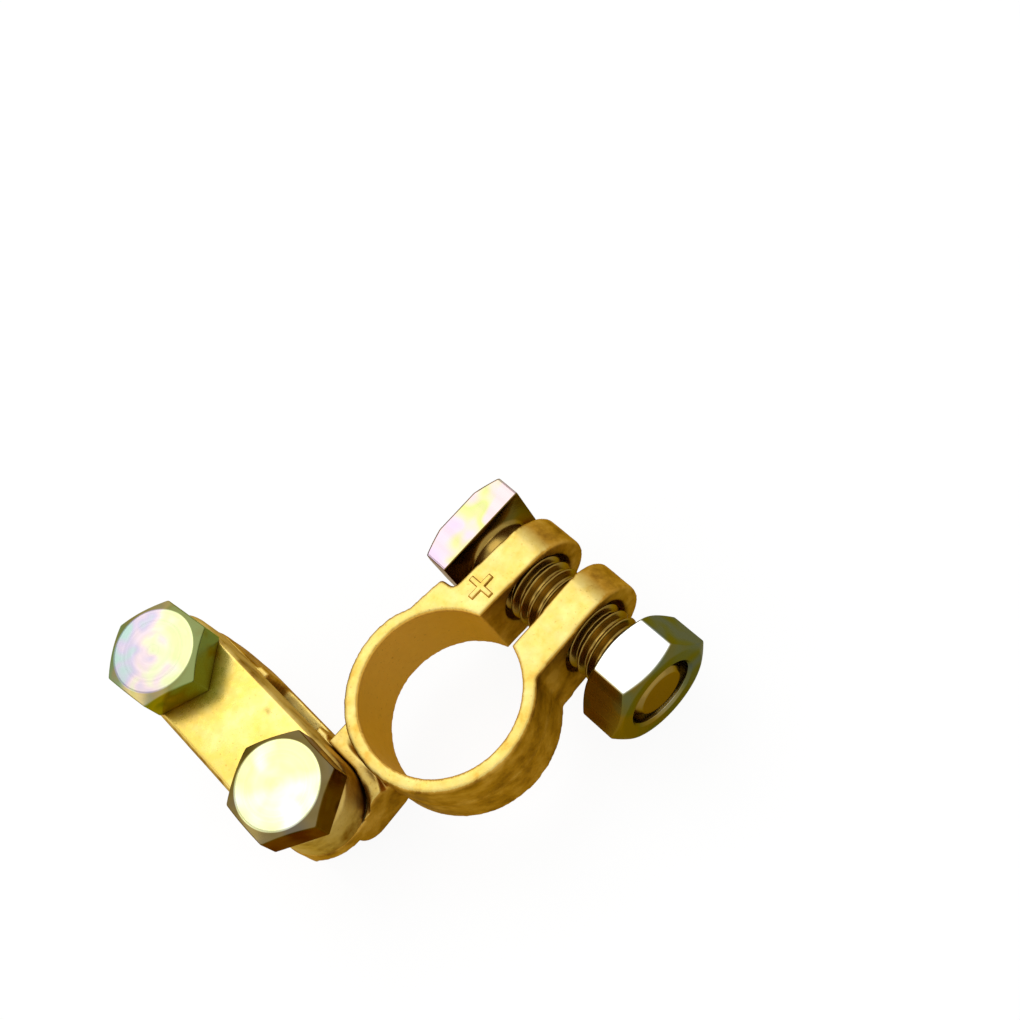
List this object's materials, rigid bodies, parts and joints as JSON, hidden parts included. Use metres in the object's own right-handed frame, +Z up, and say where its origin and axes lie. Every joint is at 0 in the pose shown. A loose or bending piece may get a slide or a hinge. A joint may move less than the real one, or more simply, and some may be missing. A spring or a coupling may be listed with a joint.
{
  "type": "battery terminal clamp",
  "caption": "Cast brass battery post clamp: split ring with two ears drawn together by a square headed pinch bolt and nut, and a side saddle with a bolted plate that grips the cable.",
  "frame": {"origin": "on the axis of the post bore, level with the underside of the ring", "axes": "+X from the bore to the ears, +Y along the pinch bolt towards its head, +Z up along the bore, towards the heads of the cable bolts"},
  "size_m": [0.0456, 0.0487, 0.0197],
  "materials": {
    "cast_brass": "cast, satin",
    "plate_brass": "pressed, satin",
    "cable_bolt_zinc": "yellow zinc plate, iridescent",
    "pinch_bolt_zinc": "yellow zinc plate, iridescent",
    "pinch_nut_zinc": "yellow zinc plate, iridescent"
  },
  "bodies": {
    "casting": {"clamp_body": "cast_brass"},
    "plate": {"pressure_plate": "plate_brass"},
    "near_bolt": {"cable_bolt_near": "cable_bolt_zinc"},
    "far_bolt": {"cable_bolt_far": "cable_bolt_zinc"},
    "pinch_bolt": {"pinch_bolt": "pinch_bolt_zinc"},
    "pinch_nut": {"pinch_nut": "pinch_nut_zinc"}
  },
  "joints": [
    {"name": "plate_lift", "type": "slide", "parent": "casting", "child": "plate", "axis": [0, 0, 1], "range_m": [0, 0.004]},
    {"name": "near_bolt_turn", "type": "hinge", "parent": "plate", "child": "near_bolt", "pos_m": [-0.0177, 0.00415, 0.0102], "axis": [0, 0, 1], "range_deg": [0, 1441]},
    {"name": "far_bolt_turn", "type": "hinge", "parent": "plate", "child": "far_bolt", "pos_m": [-0.0177, 0.02645, 0.0102], "axis": [0, 0, 1], "range_deg": [0, 1441]},
    {"name": "pinch_turn", "type": "hinge", "parent": "casting", "child": "pinch_bolt", "pos_m": [0.0154, 0.009, 0.0051], "axis": [0, -1, 0], "range_deg": [-360, 900]},
    {"name": "nut_travel", "type": "slide", "parent": "casting", "child": "pinch_nut", "axis": [0, 1, 0], "range_m": [-0.0013, 0.0032]}
  ],
  "couplings": [
    {"joint": "near_bolt_turn", "follows": "plate_lift", "rad_per_m": 6283.2},
    {"joint": "far_bolt_turn", "follows": "plate_lift", "rad_per_m": 6283.2},
    {"joint": "nut_travel", "follows": "pinch_turn", "m_per_rad": 0.00019894}
  ]
}
